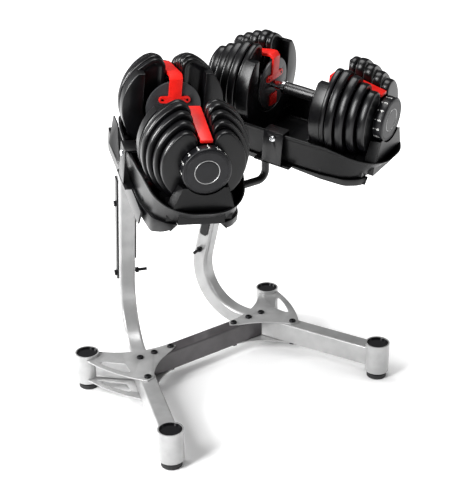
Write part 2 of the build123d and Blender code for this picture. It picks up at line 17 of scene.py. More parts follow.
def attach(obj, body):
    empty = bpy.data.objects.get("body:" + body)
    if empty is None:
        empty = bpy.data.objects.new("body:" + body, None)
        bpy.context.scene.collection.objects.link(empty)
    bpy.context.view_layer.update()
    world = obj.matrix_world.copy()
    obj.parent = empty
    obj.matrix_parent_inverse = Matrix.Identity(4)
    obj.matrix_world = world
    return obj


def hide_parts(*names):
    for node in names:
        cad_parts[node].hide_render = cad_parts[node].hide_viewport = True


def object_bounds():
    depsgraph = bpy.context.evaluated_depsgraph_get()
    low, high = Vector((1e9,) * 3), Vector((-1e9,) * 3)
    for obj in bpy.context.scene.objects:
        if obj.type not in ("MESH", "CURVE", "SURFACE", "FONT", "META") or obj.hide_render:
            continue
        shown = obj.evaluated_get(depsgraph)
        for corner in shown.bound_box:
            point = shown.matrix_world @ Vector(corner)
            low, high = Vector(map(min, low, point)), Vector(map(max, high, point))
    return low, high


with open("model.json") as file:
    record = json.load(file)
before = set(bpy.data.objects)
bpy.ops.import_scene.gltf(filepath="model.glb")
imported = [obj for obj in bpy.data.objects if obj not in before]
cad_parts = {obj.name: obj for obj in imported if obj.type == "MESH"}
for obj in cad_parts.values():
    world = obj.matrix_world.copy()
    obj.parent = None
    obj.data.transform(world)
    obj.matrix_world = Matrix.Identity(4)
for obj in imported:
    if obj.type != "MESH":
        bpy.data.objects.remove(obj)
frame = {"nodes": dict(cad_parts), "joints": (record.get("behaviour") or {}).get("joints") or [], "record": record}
cad_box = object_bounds()
nodes = frame["nodes"]

# %% [markdown]
# ## Units and directions
#
# Lengths on the dumbbells are written in millimetres, along three directions of their own: right,
# out along the grip, and up out of the tray. The model's joints already know those directions: each
# dumbbell lifts along its tray's upward line, and its two dials turn about the line of its grip.

# %% The dumbbells' own directions
MM = 0.001
SIDES = ("left", "right")
ENDS = ("front", "rear")
joints = {joint["name"]: joint for joint in frame["joints"]}


def dumbbell_frame(side, end="front"):
    """Right, out along the grip towards one end, and up, in millimetres about the grip's middle."""
    up = Vector(joints[f"{side}_dumbbell_lift"]["axis"]).normalized()
    here = Vector(joints[f"{side}_{end}_dial_turn"]["pos_m"])
    other = "rear" if end == "front" else "front"
    there = Vector(joints[f"{side}_{other}_dial_turn"]["pos_m"])
    out = (here - there).normalized()
    matrix = Matrix((up.cross(out), out, up)).transposed().to_4x4()
    matrix.translation = (here + there) / 2
    return matrix @ Matrix.Scale(MM, 4)


def spans(node, side, end="front"):
    """Where a node starts and stops along the grip on one end, and its greatest radius."""
    to_local = dumbbell_frame(side, end).inverted()
    points = [to_local @ vertex.co for vertex in nodes[node].data.vertices]
    points = [point for point in points if point.y > 0]
    radius = max(math.hypot(point.x, point.z) for point in points)
    return min(point.y for point in points), max(point.y for point in points), radius


print("grip's middle", [round(v, 3) for v in dumbbell_frame("left").translation])

# %% [markdown]
# ## Two small helpers for finishes
#
# Colours are written as the hex values that a paint chart or a web page uses. A renderer adds light
# in linear values, so one function turns each hex colour to linear. A second adds one node with its
# settings and links, which keeps every finish below to a few lines.

# %% Colour and node helpers
def linear(hex_colour):
    """An sRGB hex colour as linear red, green, blue and alpha."""
    shares = [int(hex_colour[start:start + 2], 16) / 255 for start in (1, 3, 5)]
    values = [share / 12.92 if share <= 0.04045 else ((share + 0.055) / 1.055) ** 2.4
              for share in shares]
    return values + [1.0]


def add_node(tree, kind, settings=None, sockets=None):
    """One node with its settings, and its sockets given a value or another node's output."""
    node = tree.nodes.new(kind)
    for name, value in (settings or {}).items():
        setattr(node, name, value)
    for key, value in (sockets or {}).items():
        if isinstance(value, bpy.types.NodeSocket):
            tree.links.new(value, node.inputs[key])
        else:
            node.inputs[key].default_value = value
    return node


def new_finish(name, colour, roughness, metallic=0.0, **constants):
    """A material whose constants sit on the shader's own sockets."""
    material = bpy.data.materials.new(name)
    material.use_nodes = True
    shader = material.node_tree.nodes["Principled BSDF"]
    shader.inputs["Base Color"].default_value = linear(colour)
    shader.inputs["Roughness"].default_value = roughness
    shader.inputs["Metallic"].default_value = metallic
    for key, value in constants.items():
        shader.inputs[key.replace("_", " ")].default_value = value
    return material


GRAIN_DETAIL, MOTTLE_DETAIL = 3.0, 4.0
MOTTLE_STOPS = (0.35, 0.65)


def grain(material, size_mm, depth_mm):
    """A random bump: its grain's width and depth are given in millimetres."""
    tree = material.node_tree
    place = add_node(tree, "ShaderNodeTexCoord")
    noise = add_node(tree, "ShaderNodeTexNoise", sockets={
        "Vector": place.outputs["Object"], "Scale": 1 / (size_mm * MM),
        "Detail": GRAIN_DETAIL})
    bump = add_node(tree, "ShaderNodeBump", sockets={
        "Height": noise.outputs["Fac"], "Distance": depth_mm * MM, "Strength": 1.0})
    tree.links.new(bump.outputs["Normal"], tree.nodes["Principled BSDF"].inputs["Normal"])


def mottle(material, colours, size_mm, socket="Base Color"):
    """Two tones of a colour, or of roughness, in soft patches of a given width."""
    tree = material.node_tree
    place = add_node(tree, "ShaderNodeTexCoord")
    noise = add_node(tree, "ShaderNodeTexNoise", sockets={
        "Vector": place.outputs["Object"], "Scale": 1 / (size_mm * MM),
        "Detail": MOTTLE_DETAIL})
    ramp = add_node(tree, "ShaderNodeValToRGB", sockets={"Fac": noise.outputs["Fac"]})
    for stop, place_on_ramp, tone in zip(ramp.color_ramp.elements, MOTTLE_STOPS, colours):
        stop.position = place_on_ramp
        stop.color = linear(tone) if isinstance(tone, str) else [tone, tone, tone, 1.0]
    tree.links.new(ramp.outputs["Color"], tree.nodes["Principled BSDF"].inputs[socket])


print("white paper in linear light", [round(v, 3) for v in linear("#F2F2F2")])

# %% [markdown]
# ## Silver powder coat
#
# The tubes and plates of the stand are mild steel with a satin silver powder coat: aluminium flakes
# under a clear resin. The flakes give it a soft metallic sheen and the resin a thin gloss, and the
# melted powder leaves a faint orange peel. Real orange peel is about a millimetre wide. It is drawn
# 4 mm wide here, so that it shows at all. An image of paint could give the same tones, but noise in
# the material has no seams and no fixed resolution.

# %% Silver powder coat
silver = new_finish("silver_powder_coat", "#9A9A9A", 0.3, 0.4,
                    Coat_Weight=0.2, Coat_Roughness=0.15)
mottle(silver, ("#9E9E9E", "#AAAAAA"), 35)
grain(silver, 4.0, 0.05)
print("made", silver.name)

# %% [markdown]
# ## Grey and black powder coats
#
# The crossbar has a dark grey gloss coat, so it shows a clear but soft reflection. The pans, clamps,
# flat bars and the bent tube have a semi-gloss black coat with a coarser peel. The round plates at the
# ends of each grip are a mid grey satin.

# %% Grey and black powder coats
dark_coat = new_finish("dark_grey_powder_coat", "#454244", 0.3, 0.25,
                       Coat_Weight=0.4, Coat_Roughness=0.12)
mottle(dark_coat, ("#403D3F", "#4A4749"), 40)
grain(dark_coat, 4.0, 0.05)
black_coat = new_finish("black_powder_coat", "#08080A", 0.34, Specular_IOR_Level=0.35)
mottle(black_coat, ("#060607", "#0C0C0E"), 30)
grain(black_coat, 3.0, 0.10)
hub_coat = new_finish("grey_satin_coat", "#2E2F31", 0.42)
mottle(hub_coat, ("#2A2B2D", "#343537"), 25)
grain(hub_coat, 2.5, 0.05)
print("made", dark_coat.name, black_coat.name, hub_coat.name)

# %% [markdown]
# ## Fasteners and bright parts
#
# The socket screws and nuts are steel with a black oxide, which looks like very dark metal. The
# clamps' round heads are zinc plated. The bar through the grip and its two collars are chromed, so
# they need little roughness and nothing on top. The selectors are plain turned steel: turning leaves
# rings too fine to show, drawn here as noise 2 mm wide in the roughness.

# %% Fasteners and bright parts
black_oxide = new_finish("black_oxide_steel", "#1A1A1C", 0.38, 0.7)
grain(black_oxide, 2.0, 0.04)
zinc = new_finish("zinc_plated_steel", "#D2D4D6", 0.24, 1.0)
mottle(zinc, (0.18, 0.32), 3, "Roughness")
chrome = new_finish("polished_chrome", "#DCDEE0", 0.07, 1.0)
mottle(chrome, (0.05, 0.10), 12, "Roughness")
turned_steel = new_finish("turned_steel", "#8C8E91", 0.33, 1.0)
mottle(turned_steel, (0.26, 0.42), 2, "Roughness")
print("made", black_oxide.name, zinc.name, chrome.name, turned_steel.name)

# %% [markdown]
# ## Moulded plastics and rubber
#
# The trays are glass-filled nylon with a spark-eroded texture, a dull black that brightens at low
# angles. The weight plates have a smoother urethane skin with a satin sheen. The dials are black ABS
# with a slightly lighter, finer face. The brackets over the plates are semi-gloss red ABS. The feet
# and the grip are rubber, one dull and one polished by hands. The cups' caps are glossy
# polypropylene. Moulding textures are well under a millimetre, and are drawn about 2 mm wide to show.

# %% Moulded plastics and rubber
tray_nylon = new_finish("moulded_black_nylon", "#060607", 0.34,
                        IOR=1.5, Specular_IOR_Level=0.2)
mottle(tray_nylon, ("#050506", "#0B0B0C"), 45)
grain(tray_nylon, 2.2, 0.10)
plate_skin = new_finish("satin_black_urethane", "#080809", 0.28,
                        IOR=1.5, Specular_IOR_Level=0.3)
mottle(plate_skin, ("#070708", "#0E0E10"), 30)
grain(plate_skin, 3.0, 0.06)
dial_abs = new_finish("black_dial_plastic", "#0E0E10", 0.34,
                      IOR=1.5, Specular_IOR_Level=0.25)
mottle(dial_abs, ("#0F0F11", "#161619"), 20)
grain(dial_abs, 1.8, 0.05)
face_abs = new_finish("grey_dial_face_plastic", "#161618", 0.42,
                      IOR=1.5, Specular_IOR_Level=0.25)
mottle(face_abs, ("#141416", "#1B1B1E"), 18)
grain(face_abs, 1.8, 0.04)
number_ink = new_finish("white_pad_print", "#E9E9E6", 0.5)
mottle(number_ink, ("#DCDCD8", "#F2F2F0"), 4)
red_abs = new_finish("red_plastic", "#E11A14", 0.42, IOR=1.4)
mottle(red_abs, ("#D8160F", "#EA2018"), 22)
grain(red_abs, 2.5, 0.04)
grip_rubber = new_finish("polished_grip_rubber", "#0E0E0F", 0.3)
mottle(grip_rubber, (0.24, 0.38), 6, "Roughness")
grain(grip_rubber, 2.0, 0.04)
foot_rubber = new_finish("dull_black_rubber", "#111112", 0.62)
mottle(foot_rubber, ("#0D0D0E", "#171718"), 15)
grain(foot_rubber, 2.0, 0.10)
cap_gloss = new_finish("gloss_black_cap", "#101012", 0.12)
mottle(cap_gloss, (0.09, 0.18), 10, "Roughness")
print("made 9 plastics and rubbers")

# %% [markdown]
# ## Finishes on the engineering pieces
#
# Many pieces already have their final shape: tubes, bent plates, bolts. Those keep their meshes and
# get a finish. The record gives each piece a slot, so one table from slot to finish covers them all.

# %% Finish every engineering piece
FINISHES = {
    "silver_paint": silver, "dark_paint": dark_coat, "black_steel": black_coat,
    "black_oxide": black_oxide, "bright_steel": zinc, "tray_plastic": tray_nylon,
    "cap_plastic": cap_gloss, "dial_plastic": dial_abs, "rubber": foot_rubber,
    "plate_iron": plate_skin, "hub_paint": hub_coat, "red_plastic": red_abs, "chrome": chrome,
    "grip_rubber": grip_rubber, "selector_steel": turned_steel,
}
slot_of = {part["node"]: part["material_slot"] for part in frame["record"]["subparts"]}
bodies = frame["record"]["behaviour"]["bodies"]
body_of = {name: body for body, names in bodies.items() for name in names}
for name, piece in nodes.items():
    piece.data.materials.clear()
    piece.data.materials.append(FINISHES[slot_of[name]])
print("finished", len(nodes), "engineering pieces")

# %% [markdown]
# ## A solid from rings
#
# Plates, dials and grips are all one outline carried along the grip's line, pulled in a little at
# some levels to make rounded edges, lips and hollows. So one function stacks rings of points: at each
# level every point moves inwards, square to the outline. A circle is just the simplest outline, and
# a profile turned about the grip's line gives the round parts. Modifiers could do either, but points
# worked out here keep every edge where the real one is.

# %% Rings to a solid
MITRE_LIMIT = 0.4


def inward(outline):
    """The inward direction at each point of a closed outline that runs anticlockwise."""
    directions = []
    for number, point in enumerate(outline):
        before, after = outline[number - 1], outline[(number + 1) % len(outline)]
        first = Vector((point[0] - before[0], point[1] - before[1])).normalized()
        second = Vector((after[0] - point[0], after[1] - point[1])).normalized()
        normal = Vector((-first.y - second.y, first.x + second.x))
        normal = normal.normalized() if normal.length > 1e-6 else Vector((-first.y, first.x))
        reach = max(MITRE_LIMIT, normal.dot(Vector((-first.y, first.x))))
        directions.append(normal / reach)
    return directions


def ring_faces(count, rings, closed=False):
    """Faces between rings of points, and over both ends unless the last ring joins the first."""
    faces = []
    if not closed:
        faces = [tuple(range(count)), tuple(range((rings - 1) * count, rings * count))]
    for ring in range(rings if closed else rings - 1):
        low, high = ring * count, (ring + 1) % rings * count
        for number in range(count):
            following = (number + 1) % count
            faces.append((low + number, low + following, high + following, high + number))
    return faces


def stacked(outline, profile):
    """Points and faces of a solid: the outline at each (inset, level) of the profile."""
    directions = inward(outline)
    points = []
    for inset, level in profile:
        for (x, z), move in zip(outline, directions):
            points.append((x + inset * move.x, level, z + inset * move.y))
    return points, ring_faces(len(outline), len(profile))


def circle(radius, count=96):
    """A circle's points."""
    angles = [2 * math.pi * number / count for number in range(count)]
    return [(radius * math.cos(angle), radius * math.sin(angle)) for angle in angles]


def arc(centre, radius, start, end, count):
    """Points along an arc between two angles in degrees."""
    angles = [math.radians(start + (end - start) * n / count) for n in range(count + 1)]
    return [(centre[0] + radius * math.cos(a), centre[1] + radius * math.sin(a)) for a in angles]


def lathe(profile, count=96, ring_shaped=False):
    """A solid of revolution from (radius, level) pairs, or a ring whose profile closes on itself."""
    points = []
    for radius, level in profile:
        points += [(x, level, z) for x, z in circle(radius, count)]
    return points, ring_faces(count, len(profile), ring_shaped)


print("a circle has", len(circle(1)), "points")

# %% [markdown]
# ## From rings to pieces
#
# A piece is one mesh, often of several solids. Its faces are shaded smoothly, and edges that turn by
# more than a set angle stay sharp. Each piece then rides on the body it moves with, and the
# engineering pieces it stands for are hidden.

# %% Meshes and pieces
SHARP_ANGLE = math.radians(35)


def shade_smooth(mesh, sharp_angle):
    """Smooth shading, apart from edges that turn by more than the angle."""
    for face in mesh.faces:
        face.smooth = True
    for edge in mesh.edges:
        if edge.is_manifold and edge.calc_face_angle() > sharp_angle:
            edge.smooth = False


def placed(name, mesh, finish, body, stands_for, slot):
    """The finished object of a mesh, riding on its body."""
    data = bpy.data.meshes.new(name)
    mesh.to_mesh(data)
    mesh.free()
    data.materials.append(finish)
    piece = bpy.data.objects.new(name, data)
    bpy.context.scene.collection.objects.link(piece)
    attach(piece, body)
    if stands_for:
        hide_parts(*stands_for)
    return piece


def make_piece(name, parts, finish, body, stands_for=(), slot=None):
    """One object from several (matrix, points, faces) parts, standing for its nodes."""
    mesh = bmesh.new()
    for matrix, points, faces in parts:
        made = [mesh.verts.new(matrix @ Vector(point)) for point in points]
        for face in faces:
            mesh.faces.new([made[index] for index in face])
    bmesh.ops.recalc_face_normals(mesh, faces=mesh.faces)
    shade_smooth(mesh, SHARP_ANGLE)
    return placed(name, mesh, finish, body, stands_for, slot or slot_of[stands_for[0]])


print("edges sharper than", round(math.degrees(SHARP_ANGLE)), "degrees stay sharp")

# %% [markdown]
# ## Weight plates
#
# Each plate is a disc with a slot from its middle to its top, between two rounded lobes. Its rim is
# crowned, 2.4 mm higher in the middle than at its edges, and inside the rim both faces are dished,
# which leaves a raised lip that follows the whole outline. The crown is half an ellipse. The
# outermost plate is smoother: its outer face is slightly raised and has no dish. Rings of the plate's
# own outline give all this in one solid, where a bevel would lose the lip.

# %% Weight plates
SLOT_HALF = 17.0
LOBE_RADIUS = 22.0
CROWN, CROWN_STEPS = 2.4, 8
LIP_INSET = 7.9
LIP_EDGE = LIP_INSET + 2.0
DISH_EDGE = LIP_EDGE + 4.5
DISH = 3.4
CORE = 19.0
OUTERMOST = 5


def plate_outline(radius):
    """A slotted disc's outline, from the bottom of its slot round to the same point."""
    lobe_x = SLOT_HALF + LOBE_RADIUS
    lobe_z = math.sqrt((radius - LOBE_RADIUS) ** 2 - lobe_x ** 2)
    meets = math.degrees(math.atan2(lobe_z, lobe_x))
    right = arc((0, 0), SLOT_HALF, -90, 0, 12)
    right += [(SLOT_HALF, lobe_z * share) for share in (0.33, 0.66)]
    right += arc((lobe_x, lobe_z), LOBE_RADIUS, 180, meets, 20)
    right += arc((0, 0), radius, meets, -90, 56)[1:]
    left = [(-x, z) for x, z in reversed(right[1:-1])]
    outline = right + left
    return list(reversed(outline))


def crown_rings(start, end):
    """Rings over a crowned rim between two levels."""
    middle, half = (start + end) / 2, (end - start) / 2
    turns = [math.pi * number / CROWN_STEPS for number in range(CROWN_STEPS + 1)]
    return [(CROWN * (1 - math.sin(turn)), middle - half * math.cos(turn)) for turn in turns]


def dished_profile(start, end, raised=False):
    """A plate's rings from its inner face over its rim to its outer face."""
    dish = ((CORE, DISH), (DISH_EDGE, DISH), (LIP_EDGE, 0.5), (LIP_INSET, 0.0))
    inner = [(inset, start + depth) for inset, depth in dish]
    outer = [(inset, end - depth) for inset, depth in reversed(dish)]
    if raised:
        outer = [(CROWN + 3, end + 0.2), (CROWN + 9, end + 0.4), (CORE, end + 0.4)]
    return inner + crown_rings(start, end) + outer


def make_plates(side, number):
    """The front and rear plates of one size."""
    node = f"{side}_plates_{number}"
    parts = []
    for end in ENDS:
        start, stop, radius = spans(node, side, end)
        matrix = dumbbell_frame(side, end)
        if number == 1:
            face = stop - INNER_PLATE_DEPTH
            outline = plate_outline(radius - DRUM_STEP)
            parts.append((matrix, *stacked(outline, dished_profile(face, stop))))
            parts.append((matrix, *horseshoe(radius, start, face + DRUM_OVERLAP)))
        else:
            profile = dished_profile(start, stop, number == OUTERMOST)
            parts.append((matrix, *stacked(plate_outline(radius), profile)))
    return make_piece(f"{side}_weight_plates_{number}", parts, plate_skin, body_of[node], (node,))


print("a plate's face is dished by", DISH, "mm")

# %% [markdown]
# ## The drum on the innermost plate
#
# The innermost plate carries a thick horseshoe that stands towards the grip and surrounds the grip's
# round end plate. It is open at the top, with two square shoulders. Its edges are broken by a small
# round, which catches the light as a thin bright line. It overlaps the plate, so no gap can open.

# %% Horseshoe drum
DRUM_INNER = 66.0
SHOULDER = 77.0
INNER_PLATE_DEPTH = 13.0
DRUM_STEP, DRUM_OVERLAP = 1.2, 4.0


def horseshoe(radius, start, end):
    """The drum's points and faces between two levels."""
    turn = math.degrees(math.asin(SHOULDER / radius))
    outside = arc((0, 0), radius, 180 - turn, 360 + turn, 80)
    inside = [(DRUM_INNER, SHOULDER * share) for share in (1.0, 0.5)]
    inside += arc((0, 0), DRUM_INNER, 0, -180, 48)
    inside += [(-DRUM_INNER, SHOULDER * share) for share in (0.5, 1.0)]
    edge = [(2.2, start), (1.0, start + 0.4), (0.3, start + 1.3), (0.0, start + 2.8)]
    return stacked(outside + inside, edge + [(0.0, end)])


for side in SIDES:
    for number in range(1, 6):
        piece = make_plates(side, number)
        print("made", piece.name, "with", len(piece.data.vertices), "points")

# %% [markdown]
# ## Dials
#
# A dial is a thick round knob. Its rim carries the numbers and a tick beside each, and its face is a
# slightly lighter disc with a fine groove near the edge, a thin bright ring at about half its radius,
# and a flat cover inside the ring. All of it is round, so each part is a lathe profile: pairs of a
# radius and a level along the grip.

# %% Dials
RING_RADIUS = 24.8
DIAL_BORE, COVER_BORE = 14.0, 4.0
RIM_INSET = 0.3
FACE_DEPTH = 0.9
BACK_EDGE = ((4.0, 0.0), (1.2, 0.8), (RIM_INSET, 2.2))
FRONT_EDGE = ((RIM_INSET, 3.4), (0.9, 1.9), (2.2, 0.8), (4.0, 0.4), (4.6, FACE_DEPTH))
FACE_EDGE = ((5.0, -1.5), (5.0, 0.1), (6.0, 0.5), (7.2, 0.5), (7.6, 0.1), (8.0, 0.5))
RING_SECTION = ((-1.0, -1.0), (0.9, -1.0), (0.9, 0.4), (0.5, 0.8), (-0.1, 0.8), (-0.5, 0.4))
COVER_EDGE = ((-0.8, -1.0), (-0.8, -0.1), (-1.5, 0.3), (-4.0, 0.35))


def dial_profile(start, stop, radius):
    """The knob's rings: a chamfered back edge, a plain rim and a rounded front edge."""
    back = [(radius - inset, start + depth) for inset, depth in BACK_EDGE]
    front = [(radius - inset, stop - depth) for inset, depth in FRONT_EDGE]
    return [(DIAL_BORE, start)] + back + front + [(RING_RADIUS, stop - FACE_DEPTH)]


def make_dial(side, end):
    """One dial with its face, ring and cover."""
    start, stop, radius = spans(f"{side}_{end}_dial", side, end)
    body = body_of[f"{side}_{end}_dial"]
    matrix = dumbbell_frame(side, end)
    knob = lathe(dial_profile(start, stop, radius))
    make_piece(f"{side}_{end}_dial_knob", [(matrix, *knob)], dial_abs, body, (f"{side}_{end}_dial",))
    level = stop - FACE_DEPTH
    face = [(RING_RADIUS, level - 1.5)]
    face += [(radius - inset, level + height) for inset, height in FACE_EDGE]
    face += [(RING_RADIUS + 1.4, level + 0.5), (RING_RADIUS + 1.0, level + 0.1)]
    disc = lathe(face, ring_shaped=True)
    make_piece(f"{side}_{end}_dial_face", [(matrix, *disc)], face_abs, body, slot="dial_plastic")
    ring = [(RING_RADIUS + across, level + height) for across, height in RING_SECTION]
    hoop = lathe(ring, ring_shaped=True)
    make_piece(f"{side}_{end}_dial_ring", [(matrix, *hoop)], silver, body, slot="dial_plastic")
    edge = [(RING_RADIUS + across, level + height) for across, height in COVER_EDGE]
    cover = [(COVER_BORE, level - 1.0)] + edge + [(COVER_BORE, level + 0.35)]
    node = f"{side}_{end}_dial_cap"
    make_piece(f"{side}_{end}_dial_cover", [(matrix, *lathe(cover))], dial_abs, body, (node,))
    return start, stop, radius


for side in SIDES:
    for end in ENDS:
        start, stop, radius = make_dial(side, end)
print("a dial is", round(2 * radius), "mm across and", round(stop - start), "mm deep")

# %% [markdown]
# ## Numbers on the dials
#
# Fifteen settings, 24 degrees apart, each a plain number with a tick towards the plates. Real ones are
# pad printed. Flat text would stand off the round rim at its ends, so the text's points are wrapped:
# the distance along the line becomes an angle round the dial.

# %% Numbers on the dials
WEIGHTS = (2, 3, 4, 5, 6, 7, 8, 9, 10, 12, 14, 16, 18, 20, 24)
NUMBER_SIZE, NUMBER_BOLDNESS = 11.0, 0.12
NUMBER_LEVEL, TICK_LEVEL = 6.5, 5.8
TICK = [(-0.7, 0.0, 0.0), (0.7, 0.0, 0.0), (0.7, 3.2, 0.0), (-0.7, 3.2, 0.0)]
INK = 0.15


def flat_text(words):
    """The points and faces of a line of text, in the units of its size."""
    curve = bpy.data.curves.new("number", "FONT")
    curve.body, curve.size, curve.align_x = words, NUMBER_SIZE, "CENTER"
    curve.resolution_u, curve.offset = 3, NUMBER_BOLDNESS
    holder = bpy.data.objects.new("number", curve)
    data = bpy.data.meshes.new_from_object(holder)
    points = [tuple(vertex.co) for vertex in data.vertices]
    faces = [tuple(polygon.vertices) for polygon in data.polygons]
    bpy.data.objects.remove(holder)
    bpy.data.curves.remove(curve)
    bpy.data.meshes.remove(data)
    return points, faces


def wrapped(points, turn, radius, level):
    """Flat points laid on a dial's rim, at an angle from its top and a level along the grip."""
    laid = []
    for x, y, _ in points:
        angle = turn + x / radius
        laid.append((radius * math.sin(angle), level - y, radius * math.cos(angle)))
    return laid


def make_numbers(side, end):
    """All the numbers and ticks of one dial, as one piece."""
    start, stop, radius = spans(f"{side}_{end}_dial", side, end)
    matrix, ink_radius = dumbbell_frame(side, end), radius - RIM_INSET + INK
    parts = []
    for place, weight in enumerate(WEIGHTS):
        turn = -2 * math.pi * place / len(WEIGHTS)
        points, faces = flat_text(str(weight))
        parts.append((matrix, wrapped(points, turn, ink_radius, stop - NUMBER_LEVEL), faces))
        tick = wrapped(TICK, turn, ink_radius, start + TICK_LEVEL)
        parts.append((matrix, tick, [tuple(range(len(TICK)))]))
    body = body_of[f"{side}_{end}_dial"]
    make_piece(f"{side}_{end}_dial_numbers", parts, number_ink, body, slot="dial_plastic")


for side in SIDES:
    for end in ENDS:
        make_numbers(side, end)
print("printed", len(WEIGHTS), "numbers on each of 4 dials")

# %% [markdown]
# ## Grips
#
# The grip is moulded on the bar: a little thicker in the middle than at its ends, with two fine
# grooves near each end where the mould's rings close. A lathe profile gives it all.

# %% Grips
GRIP_END = ((2.6, 0.0), (1.1, 0.5), (0.6, 1.6), (0.5, 4.0))
GROOVE = ((0.5, 0.0), (1.2, 0.6), (0.5, 1.2))
GROOVE_PLACES = (5.0, 9.0)
GRIP_SWELL = ((0.45, 14.0), (0.2, 22.0), (0.02, 34.0))


def make_grip(side):
    """One grip from its middle out to both ends."""
    node = f"{side}_grip"
    reach, radius = spans(node, side)[1:]
    steps = list(GRIP_END)
    for place in GROOVE_PLACES:
        steps += [(depth, place + along) for depth, along in GROOVE]
    steps += GRIP_SWELL
    half = [(radius - depth, reach - along) for depth, along in steps] + [(radius, 0.0)]
    profile = half + [(r, -level) for r, level in reversed(half[:-1])]
    parts = [(dumbbell_frame(side), *lathe(profile, 64))]
    return make_piece(f"{side}_moulded_grip", parts, grip_rubber, body_of[node], (node,))


for side in SIDES:
    print("made", make_grip(side).name)

# %% [markdown]
# ## Trays
#
# Each tray is a deep moulded tub. Seen from above it tapers to a blunt bow at both ends. Its wall
# leans outwards to a rolled lip, and the lip falls a little towards the bows. Inside are blocks
# hollowed to the plates' curves, and under each dial a saddle. The wall is drawn as rings between the
# floor's outline and the rim's outline, and the blocks are sections carried along the grip's line.
# Outlines are given as the corners of one quarter: right, and along the grip, from its middle.

# %% Tray outlines
RIM_CORNERS = ((34.0, 241.0), (73.0, 220.0), (96.0, 184.0), (110.0, 110.0), (115.0, 0.0))
FLOOR_CORNERS = ((34.0, 202.0), (66.0, 190.0), (87.0, 165.0), (98.0, 112.0), (102.0, 0.0))
RIM_HEIGHT, BOW_HEIGHT, BOW_START, BOW_END = -54.0, -84.0, 120.0, 250.0
FLOOR_HEIGHT = -126.0
DECK_HEIGHT = -118.0
BLOCK_FOOT = DECK_HEIGHT - 1
CORNER_SHARE = 0.47


def rounded(corners, count=6):
    """A closed outline whose corners are turned by curves that reach almost halfway along each side."""
    points = []
    for number, corner in enumerate(corners):
        here = Vector(corner)
        before = Vector(corners[number - 1]) - here
        after = Vector(corners[(number + 1) % len(corners)]) - here
        reach = CORNER_SHARE * min(before.length, after.length)
        start, end = here + before.normalized() * reach, here + after.normalized() * reach
        for step in range(count + 1):
            share = step / count
            bend = (1 - share) ** 2 * start + 2 * share * (1 - share) * here + share ** 2 * end
            points.append(tuple(bend))
    return points


def tray_outline(corners):
    """The tray's plan from the corners of one quarter."""
    quarter = list(corners[:-1])
    right = [(x, -y) for x, y in quarter]
    right += [(corners[-1][0], 0.0)] + [(x, y) for x, y in reversed(quarter)]
    return rounded(right + [(-x, y) for x, y in reversed(right)])


def rim_drop(along):
    """How far the rim falls below its middle height at a distance along the tray."""
    share = min(max((abs(along) - BOW_START) / (BOW_END - BOW_START), 0.0), 1.0)
    return share * (RIM_HEIGHT - BOW_HEIGHT)


print("rim falls", round(rim_drop(241.0), 1), "mm at the bow")

# %% Tray walls
WALL_UNDER = ((6.0, -126.0), (3.4, -126.0), (2.0, -125.4), (1.2, -124.0), (1.0, -121.0))
WALL_OUTSIDE = ((1.6, -110.0), (2.2, -88.0), (2.6, -66.0), (2.6, -64.2))
WALL_LIP = ((0.4, -63.0), (0.0, -62.2), (0.0, -56.2), (0.5, -54.7), (1.8, -54.0), (4.6, -54.0),
            (5.8, -54.8))
WALL_INSIDE = ((6.2, -57.0), (6.4, -80.0), (6.6, -116.0), (9.0, -118.0))
WALL_PROFILE = WALL_UNDER + WALL_OUTSIDE + WALL_LIP + WALL_INSIDE


def tray_rings(profile):
    """Rings of a wall from floor to rim: profile holds an inset and a height at mid-length."""
    floor, rim = tray_outline(FLOOR_CORNERS), tray_outline(RIM_CORNERS)
    points = []
    for inset, height in profile:
        share = (height - FLOOR_HEIGHT) / (RIM_HEIGHT - FLOOR_HEIGHT)
        level = [tuple(Vector(low).lerp(Vector(high), share)) for low, high in zip(floor, rim)]
        for (x, y), move in zip(level, inward(level)):
            points.append((x + inset * move.x, y + inset * move.y, height - share * rim_drop(y)))
    return points, ring_faces(len(rim), len(profile))


print("the wall's section has", len(WALL_PROFILE), "points")

# %% Tray blocks
HOLLOW_STEPS = 24
BLOCK_EDGE = ((0.6, 0.0), (0.24, 0.18), (0.0, 0.6))
CRADLE_CLEARANCE, CRADLE_HALF, CRADLE_TAPER, TAPER_START = 1.5, 98.0, 0.35, 110.0
BIG_PLATE, BIG_PLATE_TOP, SMALL_PLATE_TOP = 100.0, -92.0, -76.0


def hollow_arc(radius, top):
    """A hollow's arc about the grip's line, from one side to the other below a height."""
    reach = math.degrees(math.acos(min(1.0, -top / radius)))
    return arc((0, 0), radius, 270 + reach, 270 - reach, HOLLOW_STEPS)


def block(section, start, end):
    """A section carried along the grip's line, with broken edges at both ends."""
    near = [(inset, start + along) for inset, along in BLOCK_EDGE]
    far = [(inset, end - along) for inset, along in reversed(BLOCK_EDGE)]
    return stacked(section, near + far)


def cradle_section(radius, half_width, top):
    """A block's section, hollowed by an arc just under a plate."""
    corners = [(-half_width, top), (-half_width, BLOCK_FOOT), (half_width, BLOCK_FOOT),
               (half_width, top)]
    return list(reversed(corners + hollow_arc(radius, top)))


def make_cradle(side, end, number):
    """The block under one plate."""
    start, stop, radius = spans(f"{side}_plates_{number}", side, end)
    half_width = CRADLE_HALF - CRADLE_TAPER * max(0.0, stop - TAPER_START)
    top = BIG_PLATE_TOP if radius > BIG_PLATE else SMALL_PLATE_TOP
    section = cradle_section(radius + CRADLE_CLEARANCE, half_width, top)
    return block(section, start - 1, stop + 1)


print("made a cradle with", len(make_cradle("left", "front", 1)[0]), "points")

